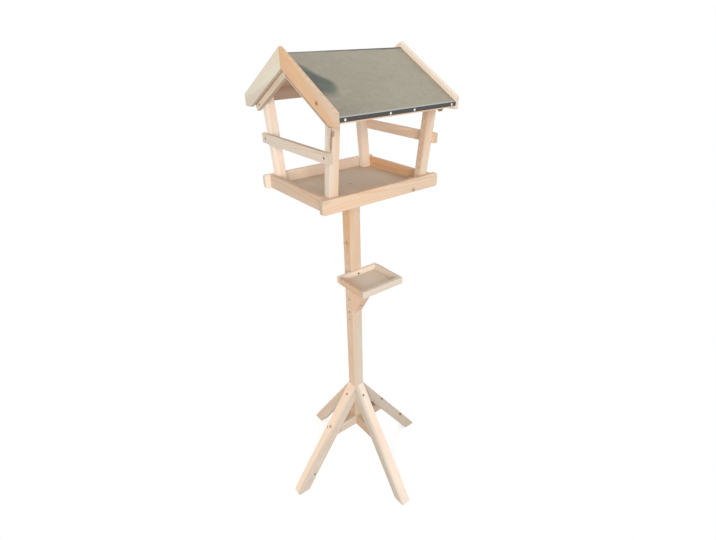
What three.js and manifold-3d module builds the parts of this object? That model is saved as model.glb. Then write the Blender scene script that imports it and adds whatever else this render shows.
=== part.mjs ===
// A bird table: a gabled feeding house and a small tray on a post with four legs.
// Millimetres, +Z up. The origin is on the ground under the post. The ridge runs along X, and the small tray
// is on the -Y side. Every length of timber is a planed bar with eased edges, sawn to its outline.

import * as THREE from "three";
import { mergeVertices } from "three/addons/utils/BufferGeometryUtils.js";
import Module from "manifold-3d";

const wasm = await Module();
wasm.setup();

// Gap between pieces that touch, and how far a cut runs past the face that it starts from
const fitGap = 0.3;
const overrun = 4;

// Timber: square stock for the post, legs, braces and strut, and sawn boards for the rest
const stock = 40;
const stockEase = 2.4;
const boardEase = 1;
const easeSteps = 3;
const parallelLimit = 1e-6;

// Foot: how far the legs reach on the ground, where they meet the post, and the post's lower end
const footReach = 314;
const legRise = 420;
const postFoot = 216;
const braceDepth = 45;

// Post: two lengths joined by a bridle joint, its tenon a third of the stock
const jointBase = 708;
const jointLength = 120;
const tenonShare = 1 / 3;

// Small tray in front of the post, and the strut under it
const smallLength = 158;
const smallReach = 157;
const smallRise = 191;
const smallDepth = 22;
const smallBoard = 12;
const smallFloor = 6;
const smallCorner = 2;
const strutDrop = 142;
const strutReach = 108;

// Main tray: its long boards run past the side boards
const trayBase = 1186;
const trayLength = 404;
const trayWidth = 314;
const trayDepth = 38;
const trayInset = 17;
const trayFloor = 9;
const trayBoard = 14;
const trayCorner = 7;

// House: leaning posts, a rail on each gable, and rafters
const houseHeight = 349;
const postLean = THREE.MathUtils.degToRad(7);
const housePostDepth = 22;
const housePostWidth = 28;
const gableBoard = 12;
const railShare = 0.575;
const railDepth = 26;
const railOverhang = 9;
const rafterDepth = 34;
const rafterOverhang = 9;

// Roof: two panels under one folded sheet, and bargeboards that stand above it
const roofPitch = THREE.MathUtils.degToRad(28);
const eaveOverhang = 30;
const panelThickness = 10;
const sheetThickness = 1;
const ridgeRadius = 7;
const eaveRadius = 1.8;
const eaveDrop = 9;
const bendSteps = 6;
const bargeDepth = 40;
const bargeThickness = 10;
const bargeRise = 12;
const bargeTail = 30;

// Screws: radius and depth of the head, and radius of the shank. Each grips the timber behind the piece that
// it holds by a share of the stock.
const screwSteps = 12;
const screwRim = 0.5;
const headSink = 0.7;
const holeRise = 12;
const gripShare = 3 / 8;
const stoutScrew = { head: 4.2, headDepth: 3, shank: 2.1 };
const boardScrew = { head: 3.6, headDepth: 2.4, shank: 1.7 };

// Places of the screws
const jointScrewShares = [0.11, 0.375, 0.79];
const legScrewReach = 26;
const braceScrewInset = 5;
const braceScrewShare = 0.42;
const braceScrewSkew = THREE.MathUtils.degToRad(38);
const strutScrewRise = 34;
const railScrewShare = 0.35;
const rafterScrewInset = 5;
const rafterScrewRise = 12;

// Colours: pale planed pine, plywood, zinc and weathered steel
const pine = timber(0xe6cfb0);
const pineWarm = timber(0xdfc09c);
const plywood = timber(0xb98a60);
const zinc = metal(0x8f8c80, 0.45);
const steel = metal(0x6d665c, 0.5);

function timber(color) {
  return new THREE.MeshStandardMaterial({ color, roughness: 0.75, metalness: 0 });
}

function metal(color, roughness) {
  return new THREE.MeshStandardMaterial({ color, roughness, metalness: 1 });
}

const axisX = new THREE.Vector3(1, 0, 0);
const axisY = new THREE.Vector3(0, 1, 0);
const axisZ = new THREE.Vector3(0, 0, 1);

// Turns a closed geometry into a solid that can be cut, and back
function solidOf(geometry) {
  const bare = geometry.clone();
  bare.deleteAttribute("normal");
  bare.deleteAttribute("uv");
  const merged = mergeVertices(bare);
  return new wasm.Manifold(new wasm.Mesh({
    numProp: 3,
    vertProperties: new Float32Array(merged.attributes.position.array),
    triVerts: new Uint32Array(merged.index.array),
  }));
}

function geometryOf(solid) {
  const { vertProperties, triVerts } = solid.getMesh();
  const geometry = new THREE.BufferGeometry();
  geometry.setAttribute("position", new THREE.BufferAttribute(vertProperties, 3));
  geometry.setIndex(new THREE.BufferAttribute(triVerts, 1));
  geometry.computeVertexNormals();
  return geometry;
}

// A rectangle with round corners, centred on the origin
function roundedRectangle(width, height, radius) {
  const x = width / 2 - radius;
  const y = height / 2 - radius;
  const quarter = Math.PI / 2;
  const shape = new THREE.Shape();
  shape.absarc(x, -y, radius, -quarter, 0);
  shape.absarc(x, y, radius, 0, quarter);
  shape.absarc(-x, y, radius, quarter, 2 * quarter);
  shape.absarc(-x, -y, radius, 2 * quarter, 3 * quarter);
  return shape;
}

// A planed bar with eased long edges, centred on the origin and running along Z
function planedBar(width, thickness, length, ease) {
  const settings = { depth: length, bevelEnabled: false, curveSegments: easeSteps };
  const geometry = new THREE.ExtrudeGeometry(roundedRectangle(width, thickness, ease), settings);
  return geometry.translate(0, 0, -length / 2);
}

// A board with eased edges all round and round corners, centred on the origin
function shapedBoard(length, depth, thickness, corner) {
  const geometry = new THREE.ExtrudeGeometry(roundedRectangle(length, depth, corner), {
    depth: thickness - 2 * boardEase,
    bevelThickness: boardEase,
    bevelSize: boardEase,
    bevelOffset: -boardEase,
    bevelSegments: easeSteps,
    curveSegments: easeSteps,
  });
  return geometry.translate(0, 0, boardEase - thickness / 2);
}

// Everything on the outer side of one edge of an outline, as far as a saw cut takes away
function offcut(corner, next, centre, size, thickness) {
  const edge = next.clone().sub(corner);
  const outward = new THREE.Vector2(edge.y, -edge.x).normalize();
  if (outward.dot(centre.clone().sub(corner)) > 0) outward.negate();
  const middle = corner.clone().add(next).divideScalar(2).addScaledVector(outward, size / 2);
  return new THREE.BoxGeometry(size, size, thickness + 2 * overrun)
    .rotateZ(edge.angle())
    .translate(middle.x, middle.y, thickness / 2);
}

// A board sawn to a convex outline, standing on its own XY plane. The outline's first edge runs along the
// grain: a planed bar is laid along it, and each edge that crosses the grain is a saw cut.
function sawnBoard(outline, thickness, ease = boardEase) {
  const corners = outline.map(([u, v]) => new THREE.Vector2(u, v));
  const centre = corners.reduce((sum, corner) => sum.add(corner), new THREE.Vector2());
  centre.divideScalar(corners.length);
  const grain = corners[1].clone().sub(corners[0]).normalize();
  const across = new THREE.Vector2(-grain.y, grain.x);
  const alongs = corners.map((corner) => corner.dot(grain));
  const widths = corners.map((corner) => corner.dot(across));
  const length = Math.max(...alongs) - Math.min(...alongs) + 2 * overrun;
  const width = Math.max(...widths) - Math.min(...widths);
  const middle = grain.clone().multiplyScalar((Math.max(...alongs) + Math.min(...alongs)) / 2)
    .addScaledVector(across, (Math.max(...widths) + Math.min(...widths)) / 2);

  const laid = new THREE.Matrix4()
    .makeBasis(new THREE.Vector3(across.x, across.y, 0), axisZ, new THREE.Vector3(grain.x, grain.y, 0))
    .setPosition(middle.x, middle.y, thickness / 2);
  let board = solidOf(planedBar(width, thickness, length, ease).applyMatrix4(laid));
  corners.forEach((corner, index) => {
    const next = corners[(index + 1) % corners.length];
    const edge = next.clone().sub(corner).normalize();
    if (Math.abs(edge.dot(across)) < parallelLimit) return;
    board = board.subtract(solidOf(offcut(corner, next, centre, length + width, thickness)));
  });
  return geometryOf(board);
}

// Frames that stand a board's own XY plane up in the object
const flat = new THREE.Matrix4();
const gableFrame = new THREE.Matrix4().makeBasis(axisY, axisZ, axisX);
const frontFrame = new THREE.Matrix4().makeBasis(axisX, axisZ, axisY.clone().negate());

function moved(frame, x, y, z) {
  return new THREE.Matrix4().makeTranslation(x, y, z).multiply(frame);
}

function turned(frame, angle) {
  return new THREE.Matrix4().makeRotationZ(angle).multiply(frame);
}

// A screw as a turned solid, the face of its head at the origin and its shank along -Z
function screwGeometry({ head, headDepth, shank }, length) {
  const profile = [
    new THREE.Vector2(0, -length),
    new THREE.Vector2(shank, shank - length),
    new THREE.Vector2(shank, -headDepth),
    new THREE.Vector2(head, -screwRim),
    new THREE.Vector2(head, 0),
    new THREE.Vector2(0, 0),
  ];
  return new THREE.LatheGeometry(profile, screwSteps).rotateX(Math.PI / 2);
}

// The hole for a screw: its shape grown by the fit, and open above its head
function screwHole({ head, headDepth, shank }, length) {
  const profile = [
    new THREE.Vector2(0, -length - fitGap),
    new THREE.Vector2(shank + fitGap, shank - length),
    new THREE.Vector2(shank + fitGap, -headDepth - fitGap),
    new THREE.Vector2(head + fitGap, -screwRim - fitGap),
    new THREE.Vector2(head + fitGap, holeRise),
    new THREE.Vector2(0, holeRise),
  ];
  return new THREE.LatheGeometry(profile, screwSteps).rotateX(Math.PI / 2);
}

// A screw driven in at a point on a surface: its head is sunk below it, and it points along a way
function driven(name, kind, length, point, way, sink = headSink) {
  const direction = new THREE.Vector3(...way).normalize();
  const turn = new THREE.Quaternion().setFromUnitVectors(axisZ.clone().negate(), direction);
  const place = new THREE.Vector3(...point).addScaledVector(direction, sink);
  const matrix = new THREE.Matrix4().compose(place, turn, new THREE.Vector3(1, 1, 1));
  return { name, kind, length, matrix };
}

const birdTable = new THREE.Group();

// Adds a piece, drilled for the screws that pass through it, and set in its frame
function addPiece(name, geometry, frame, material, screws = []) {
  const home = frame.clone().invert();
  const drilled = screws.reduce(
    (solid, { kind, length, matrix }) =>
      solid.subtract(solidOf(screwHole(kind, length).applyMatrix4(matrix).applyMatrix4(home))),
    solidOf(geometry),
  );
  const mesh = new THREE.Mesh(geometryOf(drilled), material);
  mesh.name = name;
  mesh.applyMatrix4(frame);
  birdTable.add(mesh);
}

function addScrew({ name, kind, length, matrix }) {
  const mesh = new THREE.Mesh(screwGeometry(kind, length), steel);
  mesh.name = name;
  mesh.applyMatrix4(matrix);
  birdTable.add(mesh);
}

// The four faces of the post, each with the turn that takes +X to it
const sides = [
  { side: "right", turn: 0 },
  { side: "back", turn: Math.PI / 2 },
  { side: "left", turn: Math.PI },
  { side: "front", turn: -Math.PI / 2 },
];

function around(turn, [reach, across, height]) {
  return new THREE.Vector3(reach, across, height).applyAxisAngle(axisZ, turn).toArray();
}

// Legs: plumb cut against the post and level cut on the ground
const postFace = stock / 2;
const legFace = postFace + fitGap;
const grip = stock * gripShare;
const legSlope = Math.atan2(legRise, footReach - legFace);
const legPlumb = stock / Math.cos(legSlope);
const legLevel = stock / Math.sin(legSlope);

function underLeg(height) {
  return legFace + (legRise - legPlumb - height) / Math.tan(legSlope);
}

const legScrews = sides.map(({ side, turn }) => {
  const height = legRise - legScrewReach * Math.tan(legSlope);
  const way = [-Math.sin(legSlope), 0, -Math.cos(legSlope)];
  const point = around(turn, [legFace + legScrewReach, 0, height]);
  const length = (legScrewReach + grip) / Math.sin(legSlope);
  return driven(`leg_screw_${side}`, stoutScrew, length, point, around(turn, way));
});

// Braces: level blocks between the post's foot and a leg, each held to its leg by a skewed screw
const braceTop = postFoot + braceDepth;
const braceGap = fitGap / Math.sin(legSlope);

const braceScrews = sides.map(({ side, turn }) => {
  const height = postFoot + braceDepth * braceScrewShare;
  const point = around(turn, [underLeg(height) - braceScrewInset, postFace, height]);
  const way = around(turn, [Math.sin(braceScrewSkew), -Math.cos(braceScrewSkew), 0]);
  const sink = headSink + boardScrew.head * Math.tan(braceScrewSkew);
  return driven(`brace_screw_${side}`, boardScrew, 2 * grip, point, way, sink);
});

sides.forEach(({ side, turn }, index) => {
  const frame = turned(moved(frontFrame, 0, postFace, 0), turn);
  const leg = [
    [footReach, 0],
    [legFace, legRise],
    [legFace, legRise - legPlumb],
    [footReach - legLevel, 0],
  ];
  const legHoles = [legScrews[index], braceScrews[index]];
  addPiece(`leg_${side}`, sawnBoard(leg, stock, stockEase), frame, pine, legHoles);
  const brace = [
    [legFace, postFoot],
    [underLeg(postFoot) - braceGap, postFoot],
    [underLeg(braceTop) - braceGap, braceTop],
    [legFace, braceTop],
  ];
  const braceHoles = [braceScrews[index]];
  addPiece(`brace_${side}`, sawnBoard(brace, stock, stockEase), frame, pineWarm, braceHoles);
});

// Strut: it repeats the legs' cuts the other way up, plumb on the post and level under the small tray
const smallBase = jointBase + smallRise;
const strutFoot = smallBase - strutDrop;
const strutTop = smallBase - fitGap;
const strutSlope = Math.atan2(strutTop - strutFoot, strutReach - legFace);
const strutPlumb = stock / Math.cos(strutSlope);
const strutLevel = stock / Math.sin(strutSlope);
const strutScrewReach = strutScrewRise / Math.tan(strutSlope);
const strutScrew = driven(
  "strut_screw",
  stoutScrew,
  (strutScrewReach + grip) / Math.sin(strutSlope),
  [0, -legFace - strutScrewReach, strutFoot + strutScrewRise],
  [0, Math.sin(strutSlope), Math.cos(strutSlope)],
);
const strutOutline = [
  [-legFace, strutFoot],
  [-strutReach, strutTop],
  [-strutReach + strutLevel, strutTop],
  [-legFace, strutFoot + strutPlumb],
];
const strutFrame = moved(gableFrame, -postFace, 0, 0);
addPiece("tray_strut", sawnBoard(strutOutline, stock, stockEase), strutFrame, pineWarm, [strutScrew]);

// Screws through the small tray's back board and the main tray's floor into the post
const smallTrayScrew = driven(
  "small_tray_screw",
  boardScrew,
  smallBoard + grip,
  [0, -legFace - smallBoard, smallBase + smallDepth / 2],
  [0, 1, 0],
);
const trayScrewPlace = [0, 0, trayBase + trayFloor];
const trayScrew = driven("tray_screw", stoutScrew, trayFloor + 2 * grip, trayScrewPlace, [0, 0, -1]);

// Post: the lower length ends in a tenon, and the upper length is forked over it
const jointTop = jointBase + jointLength;
const tenonHalf = (stock * tenonShare) / 2;
const jointScrews = jointScrewShares.map((share, index) => {
  const point = [-postFace, 0, jointBase + jointLength * share];
  return driven(`joint_screw_${index + 1}`, boardScrew, 2 * grip, point, [1, 0, 0]);
});

// A length of the post between two heights, and a block as wide as the joint's cheeks or slot
function postLength(low, high) {
  return solidOf(planedBar(stock, stock, high - low, stockEase).translate(0, 0, (low + high) / 2));
}

function jointBlock(left, right, low, high) {
  const block = new THREE.BoxGeometry(right - left, stock + 2 * overrun, high - low);
  return solidOf(block.translate((left + right) / 2, 0, (low + high) / 2));
}

const lowerTop = jointTop - fitGap;
const cheekOuter = postFace + overrun;
const postLower = postLength(postFoot, lowerTop)
  .subtract(jointBlock(-cheekOuter, -tenonHalf, jointBase, lowerTop + overrun))
  .subtract(jointBlock(tenonHalf, cheekOuter, jointBase, lowerTop + overrun));
addPiece("post_lower", geometryOf(postLower), flat, pine, [...legScrews, ...jointScrews, strutScrew]);

const slotHalf = tenonHalf + fitGap;
const upperBase = jointBase + fitGap;
const postUpper = postLength(upperBase, trayBase - fitGap)
  .subtract(jointBlock(-slotHalf, slotHalf, upperBase - overrun, jointTop));
addPiece("post_upper", geometryOf(postUpper), flat, pineWarm, [...jointScrews, smallTrayScrew, trayScrew]);

// An open tray: long boards across X, side boards between them, and a floor inside
function addTray({ prefix, length, front, back, base, depth, thickness, inset, floor, corner, backHoles,
  floorHoles }) {
  const top = base + depth;
  const middle = base + depth / 2;
  const board = shapedBoard(length, depth, thickness, corner);
  const inner = { front: front + thickness, back: back - thickness };
  addPiece(`${prefix}_front_board`, board, moved(frontFrame, 0, front + thickness / 2, middle), pine);
  addPiece(`${prefix}_back_board`, board, moved(frontFrame, 0, back - thickness / 2, middle), pine, backHoles);

  const low = inner.front + fitGap;
  const high = inner.back - fitGap;
  const sideInner = length / 2 - inset - thickness;
  const side = sawnBoard([[low, base], [high, base], [high, top], [low, top]], thickness);
  addPiece(`${prefix}_left_board`, side, moved(gableFrame, -sideInner - thickness, 0, 0), pineWarm);
  addPiece(`${prefix}_right_board`, side, moved(gableFrame, sideInner, 0, 0), pineWarm);

  const end = sideInner - fitGap;
  const panel = sawnBoard([[-end, low], [end, low], [end, high], [-end, high]], floor);
  addPiece(`${prefix}_floor`, panel, moved(flat, 0, 0, base), pineWarm, floorHoles);
}

addTray({
  prefix: "tray",
  length: trayLength,
  front: -trayWidth / 2,
  back: trayWidth / 2,
  base: trayBase,
  depth: trayDepth,
  thickness: trayBoard,
  inset: trayInset,
  floor: trayFloor,
  corner: trayCorner,
  backHoles: [],
  floorHoles: [trayScrew],
});
addTray({
  prefix: "small_tray",
  length: smallLength,
  front: -smallReach,
  back: -legFace,
  base: smallBase,
  depth: smallDepth,
  thickness: smallBoard,
  inset: 0,
  floor: smallFloor,
  corner: smallCorner,
  backHoles: [smallTrayScrew],
  floorHoles: [],
});

// Roof lines in the gable's plane, given by their height over the ridge
const ridgeHeight = trayBase + houseHeight;
const pitchSlope = Math.tan(roofPitch);
const pitchPlumb = 1 / Math.cos(roofPitch);
const panelTop = ridgeHeight - (sheetThickness + fitGap) * pitchPlumb;
const panelUnder = panelTop - panelThickness * pitchPlumb;
const rafterTop = panelUnder - fitGap * pitchPlumb;
const rafterUnder = rafterTop - rafterDepth * pitchPlumb;
const bargeTop = ridgeHeight + bargeRise;
const bargeUnder = bargeTop - bargeDepth * pitchPlumb;
const mitre = fitGap / 2;

function below(line, reach) {
  return line - reach * pitchSlope;
}

// House posts: they stand on the tray's floor, lean out over its long boards and meet the roof
const trayTop = trayBase + trayDepth;
const leanSlope = Math.tan(postLean);
const leanWidth = housePostDepth / Math.cos(postLean);
const sideInner = trayLength / 2 - trayInset - trayBoard;
const gableOuter = sideInner + gableBoard;
const housePostBase = trayBase + trayFloor + fitGap;

function housePostFace(height) {
  return trayWidth / 2 - trayBoard - fitGap - (trayTop - height) * leanSlope;
}

// The height at which a house post's face, set in by a width, meets a roof line
function faceMeets(line, setIn) {
  return below(line, housePostFace(0) - setIn) / (1 + leanSlope * pitchSlope);
}

// Where the posts' faces reach the rafters, how far the rafters run past them, and the eave past those
const meetHeight = faceMeets(rafterUnder, 0);
const rafterFoot = housePostFace(meetHeight) + rafterOverhang;
const rafterReach = rafterFoot + rafterDepth * Math.sin(roofPitch);
const eaveReach = rafterReach + eaveOverhang;

const gables = [{ end: "left", way: -1 }, { end: "right", way: 1 }];
const slopes = [{ slope: "front", facing: -1 }, { slope: "back", facing: 1 }];

// One screw at each end of each gable's rail, and one near the foot of each rafter
const railMiddle = trayTop + (meetHeight - trayTop) * railShare;
const railBase = railMiddle - railDepth / 2;

function gableScrews(name, reach, height) {
  return gables.flatMap(({ end, way }) => slopes.map(({ slope, facing }) => {
    const point = [way * gableOuter, facing * reach, height];
    return driven(`${name}_${end}_${slope}`, boardScrew, gableBoard + grip, point, [-way, 0, 0]);
  }));
}

const railScrews = gableScrews("rail_screw", housePostFace(railMiddle) - leanWidth * railScrewShare, railMiddle);
const rafterScrews = gableScrews(
  "rafter_screw",
  housePostFace(meetHeight) - rafterScrewInset,
  meetHeight + rafterScrewRise,
);

// Adds a board of one gable, its outline drawn for the back slope, between two distances from the middle
function addGableBoard(name, outline, facing, way, inner, thickness, material, holes) {
  const mirrored = outline.map(([y, z]) => [facing * y, z]);
  const start = way > 0 ? inner : -inner - thickness;
  addPiece(name, sawnBoard(mirrored, thickness), moved(gableFrame, start, 0, 0), material, holes);
}

function addHousePost({ end, way }, { slope, facing }) {
  const outerTop = faceMeets(rafterTop, 0);
  const innerTop = faceMeets(rafterTop, leanWidth);
  const outline = [
    [housePostFace(housePostBase), housePostBase],
    [housePostFace(outerTop), outerTop],
    [housePostFace(innerTop) - leanWidth, innerTop],
    [housePostFace(housePostBase) - leanWidth, housePostBase],
  ];
  const inner = sideInner - fitGap - housePostWidth;
  const holes = [...railScrews, ...rafterScrews];
  addGableBoard(`house_post_${end}_${slope}`, outline, facing, way, inner, housePostWidth, pine, holes);
}

function addRail({ end, way }) {
  const reach = housePostFace(railMiddle) + railOverhang;
  const top = railBase + railDepth;
  const outline = [[-reach, railBase], [reach, railBase], [reach, top], [-reach, top]];
  addGableBoard(`rail_${end}`, outline, 1, way, sideInner, gableBoard, pineWarm, railScrews);
}

// Rafters: plumb cut at the ridge and square cut at the foot
function addRafter({ end, way }, { slope, facing }) {
  const outline = [
    [mitre, below(rafterUnder, mitre)],
    [rafterFoot, below(rafterUnder, rafterFoot)],
    [rafterReach, below(rafterTop, rafterReach)],
    [mitre, below(rafterTop, mitre)],
  ];
  addGableBoard(`rafter_${end}_${slope}`, outline, facing, way, sideInner, gableBoard, pineWarm, rafterScrews);
}

// Bargeboards: plumb cut at the ridge and the eave, and level cut at the tail
function addBargeboard({ end, way }, { slope, facing }) {
  const tail = below(bargeTop, eaveReach) - bargeTail;
  const heel = (bargeUnder - tail) / pitchSlope;
  const outline = [
    [mitre, below(bargeUnder, mitre)],
    [heel, tail],
    [eaveReach, tail],
    [eaveReach, below(bargeTop, eaveReach)],
    [mitre, below(bargeTop, mitre)],
  ];
  addGableBoard(`bargeboard_${end}_${slope}`, outline, facing, way, gableOuter + fitGap, bargeThickness, pine, []);
}

gables.forEach((gable) => {
  addRail(gable);
  slopes.forEach((slope) => {
    addHousePost(gable, slope);
    addRafter(gable, slope);
    addBargeboard(gable, slope);
  });
});

// Roof panels: plumb cut at the ridge and the eave, the ridge planed level under the sheet's bend
const panelReach = eaveReach - sheetThickness - fitGap;
const ridgeFlat = ridgeRadius * Math.sin(roofPitch);
slopes.forEach(({ slope, facing }) => {
  const outline = [
    [mitre, below(panelUnder, mitre)],
    [panelReach, below(panelUnder, panelReach)],
    [panelReach, below(panelTop, panelReach)],
    [ridgeFlat, below(panelTop, ridgeFlat)],
    [mitre, below(panelTop, ridgeFlat)],
  ].map(([y, z]) => [facing * y, z]);
  const frame = moved(gableFrame, -gableOuter, 0, 0);
  addPiece(`roof_panel_${slope}`, sawnBoard(outline, 2 * gableOuter), frame, plywood);
});

// The zinc sheet: one strip in the gable's plane, bent over the ridge and down at both eaves
function bend(centreY, centreZ, radius, from, to) {
  const curve = new THREE.EllipseCurve(centreY, centreZ, radius, radius, from, to, to < from);
  return curve.getPoints(bendSteps);
}

function sheetLine(setIn) {
  const quarter = Math.PI / 2;
  const ridgeCentre = ridgeHeight - ridgeRadius * pitchPlumb;
  const eaveCentre = eaveReach - eaveRadius;
  const eaveHeight = below(ridgeHeight, eaveCentre) - eaveRadius * pitchPlumb;
  const lipEnd = below(ridgeHeight, eaveReach) - eaveDrop;
  return [
    new THREE.Vector2(-eaveReach + setIn, lipEnd),
    ...bend(-eaveCentre, eaveHeight, eaveRadius - setIn, 2 * quarter, quarter + roofPitch),
    ...bend(0, ridgeCentre, ridgeRadius - setIn, quarter + roofPitch, quarter - roofPitch),
    ...bend(eaveCentre, eaveHeight, eaveRadius - setIn, quarter - roofPitch, 0),
    new THREE.Vector2(eaveReach - setIn, lipEnd),
  ];
}

const sheetShape = new THREE.Shape([...sheetLine(0), ...sheetLine(sheetThickness).reverse()]);
const sheet = new THREE.ExtrudeGeometry(sheetShape, { depth: 2 * gableOuter, bevelEnabled: false });
addPiece("roof_sheet", sheet, moved(gableFrame, -gableOuter, 0, 0), zinc);

[...legScrews, ...braceScrews, ...jointScrews, strutScrew, smallTrayScrew, trayScrew, ...railScrews,
  ...rafterScrews].forEach(addScrew);

export default birdTable;
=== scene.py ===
import math

import bmesh
import bpy
from bpy.props import FloatProperty, FloatVectorProperty, IntProperty, PointerProperty
from mathutils import Matrix, Vector


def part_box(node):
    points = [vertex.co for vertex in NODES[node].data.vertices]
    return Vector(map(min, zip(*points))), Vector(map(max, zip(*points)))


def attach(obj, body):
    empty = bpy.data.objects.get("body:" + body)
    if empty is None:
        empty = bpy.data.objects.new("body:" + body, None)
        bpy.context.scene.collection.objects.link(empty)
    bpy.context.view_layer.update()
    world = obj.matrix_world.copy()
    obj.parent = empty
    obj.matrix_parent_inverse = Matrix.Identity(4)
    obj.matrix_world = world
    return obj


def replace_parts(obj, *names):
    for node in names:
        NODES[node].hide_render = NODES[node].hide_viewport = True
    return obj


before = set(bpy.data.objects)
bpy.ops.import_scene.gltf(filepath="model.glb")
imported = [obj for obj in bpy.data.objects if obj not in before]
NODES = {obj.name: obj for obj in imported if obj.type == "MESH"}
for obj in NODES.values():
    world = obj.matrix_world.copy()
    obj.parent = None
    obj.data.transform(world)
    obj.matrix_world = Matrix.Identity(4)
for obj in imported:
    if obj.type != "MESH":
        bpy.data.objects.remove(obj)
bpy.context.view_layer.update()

bl_info = {
    "name": "Bird table",
    "version": (1, 0, 0),
    "blender": (4, 5, 0),
    "location": "3D View > Sidebar > Bird table",
    "description": "Finishes a pine bird table with a zinc roof and sets a plain studio round it",
    "category": "Object",
}

X, Y, Z = (1, 0, 0), (0, 1, 0), (0, 0, 1)

# The timber that each operator finishes: how its nodes' names start, and the number of its first
# cut. The number of a cut settles all that differs by chance from one piece to the next.
TIMBER = {
    "stand": (("leg_", "brace_", "post_"), 1),
    "trays": (("tray_", "small_tray_"), 20),
    "house": (("house_post_", "rail_", "rafter_"), 40),
    "roof_boards": (("bargeboard_", "roof_panel_"), 60),
}

# The pieces that hold the screws, and how the names of the nodes that they replace start
SCREWS = {
    "leg_screws": "leg_screw_",
    "brace_screws": "brace_screw_",
    "joint_screws": "joint_screw_",
    "rail_screws": "rail_screw_",
    "rafter_screws": "rafter_screw_",
    "tray_screws": ("strut_screw", "small_tray_screw", "tray_screw"),
}

# The cut of pine that each piece is, under the longest name here that its node's name starts with:
# the tone of its sapwood, the tone of its heartwood, how light both are against their settings, and
# the way from its middle to the pith of its log. That lightness is partly painted light, since it
# lifts some pieces that lie in shade, such as those under the roof. Several of the given ways put
# the heartwood's warmer or greyer tone on the faces in shade, where it is painted shade as well as
# heartwood. A way that is 1 long puts the pith just outside the face that it points to, and its
# part along the grain is how much nearer the pith comes with each metre. None is a pith further
# off, on a side that differs by chance.
CUTS = {
    "bargeboard_left_back": ("silvered", "rose", 0.97, (0, -0.36, -1.05)),
    "bargeboard_left_front": ("peach", "amber", 0.93, (0, 0.367, -0.37)),
    "bargeboard_right": ("ivory", "apricot", 1.04, None),
    "rail_left": ("ash", "rose", 0.94, None),
    "rail_right": ("apricot", "peach", 1.0, (0, -0.1, -1)),
    "rafter_left_back": ("cream", "peach", 0.97, None),
    "rafter_left_front": ("ivory", "cream", 1.02, None),
    "rafter_right": ("honey", "russet", 0.95, None),
    "house_post_left_front": ("ash", "peach", 0.96, (1, 0, 0)),
    "house_post_left_back": ("ivory", "ivory", 1.06, None),
    "house_post_right_front": ("cream", "tan", 0.98, (-1.1, 0, 0.12)),
    "house_post_right_back": ("ivory", "ivory", 1.03, None),
    "tray_front_board": ("peach", "cream", 0.93, None),
    "tray_left_board": ("peach", "tan", 0.88, None),
    "tray_back_board": ("ivory", "ivory", 1.0, None),
    "tray_right_board": ("peach", "amber", 0.92, (-1, 0, 0)),
    "tray_floor": ("rose", "cream", 0.95, None),
    "post_upper": ("peach", "amber", 0.94, (-1.5, 0, 0.07)),
    "post_lower": ("rose", "peach", 0.92, (-1, 0, 0)),
    "tray_strut": ("honey", "tan", 1.08, None),
    "small_tray_left_board": ("honey", "amber", 0.91, None),
    "small_tray_back_board": ("ivory", "ivory", 1.02, None),
    "small_tray": ("ash", "cream", 0.94, None),
    "leg_left": ("apricot", "clay", 1.04, (0, -1.1, 0)),
    "leg_front": ("ivory", "clay", 0.99, (-1, 0, 0)),
    "leg_right": ("clay", "rose", 0.92, None),
    "leg_back": ("peach", "cream", 1.15, None),
    "brace_left": ("tan", "rose", 0.92, (0, -0.8, 0)),
    "brace_": ("peach", "tan", 0.84, None),
    "roof_panel_": ("honey", "russet", 1.0, None),
}

# The knots: the piece, where in the object the knot comes out, its radius in metres, how dark it
# is, and how many times its width it is drawn out along the grain
KNOTS = [
    ("post_upper", (-0.020, 0.0170, 1.0055), 0.0028, 1.0, 1.2),
    ("post_upper", (-0.020, 0.0010, 1.0110), 0.0048, 0.45, 1.4),
    ("post_upper", (0.020, 0.0040, 0.9300), 0.0050, 0.7, 1.2),
    ("post_lower", (0.006, 0.0200, 0.5600), 0.0060, 0.7, 1.2),
    ("tray_front_board", (0.1070, -0.1570, 1.1925), 0.0038, 0.7, 1.2),
    ("bargeboard_left_front", (-0.1933, -0.1466, 1.4415), 0.0034, 0.9, 1.2),
    ("bargeboard_right_back", (0.1933, 0.0900, 1.4750), 0.0055, 0.7, 1.2),
    ("house_post_left_front", (-0.1678, -0.1595, 1.3610), 0.0026, 0.75, 10.0),
    ("house_post_left_front", (-0.1630, -0.1613, 1.3765), 0.0036, 0.60, 1.8),
    ("leg_left", (-0.1325, 0.0000, 0.2596), 0.0044, 0.75, 1.2),
    ("leg_left", (-0.1385, 0.0130, 0.2510), 0.0030, 0.7, 1.2),
    ("leg_left", (-0.2346, -0.0200, 0.0701), 0.0038, 1.0, 1.1),
    ("leg_right", (0.1190, -0.0200, 0.2760), 0.0056, 1.0, 1.4),
    ("leg_right", (0.2280, -0.0200, 0.1145), 0.0056, 1.0, 1.4),
    ("leg_right", (0.0720, -0.0200, 0.2850), 0.0030, 0.5, 1.2),
    ("leg_back", (0.0200, 0.1800, 0.1650), 0.0055, 0.7, 1.2),
    ("leg_front", (0.0200, -0.1500, 0.2050), 0.0045, 0.6, 1.2),
    ("brace_back", (0.0200, 0.0600, 0.2400), 0.0050, 0.7, 1.2),
]

# The most that a side of a piece may face the way that its broad face does, as a cosine
SLANTING = 0.7

# The log that a piece is sawn from, in metres
HEARTWOOD_TO = 0.024  # all heartwood out to here from the pith
SAPWOOD_FROM = 0.040  # and all sapwood beyond here
EDGE_WAVERS = 0.006  # how far the edge between the two strays
RING_WAVERS = 0.0022  # how far a ring strays from round
PITH_CLEAR = 0.016  # how far outside the face the pith lies for a way that is 1 long
PITH_NEAREST = 0.036  # how near a pith on a chance side comes to the middle of the piece
PITH_VARIES = 0.022  # and how much further off it may be
PITH_STRAYS = 0.016  # how far the pith strays from a straight line
PITH_ASLANT = 0.012  # how far it runs aslant, for each metre of the piece

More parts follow.
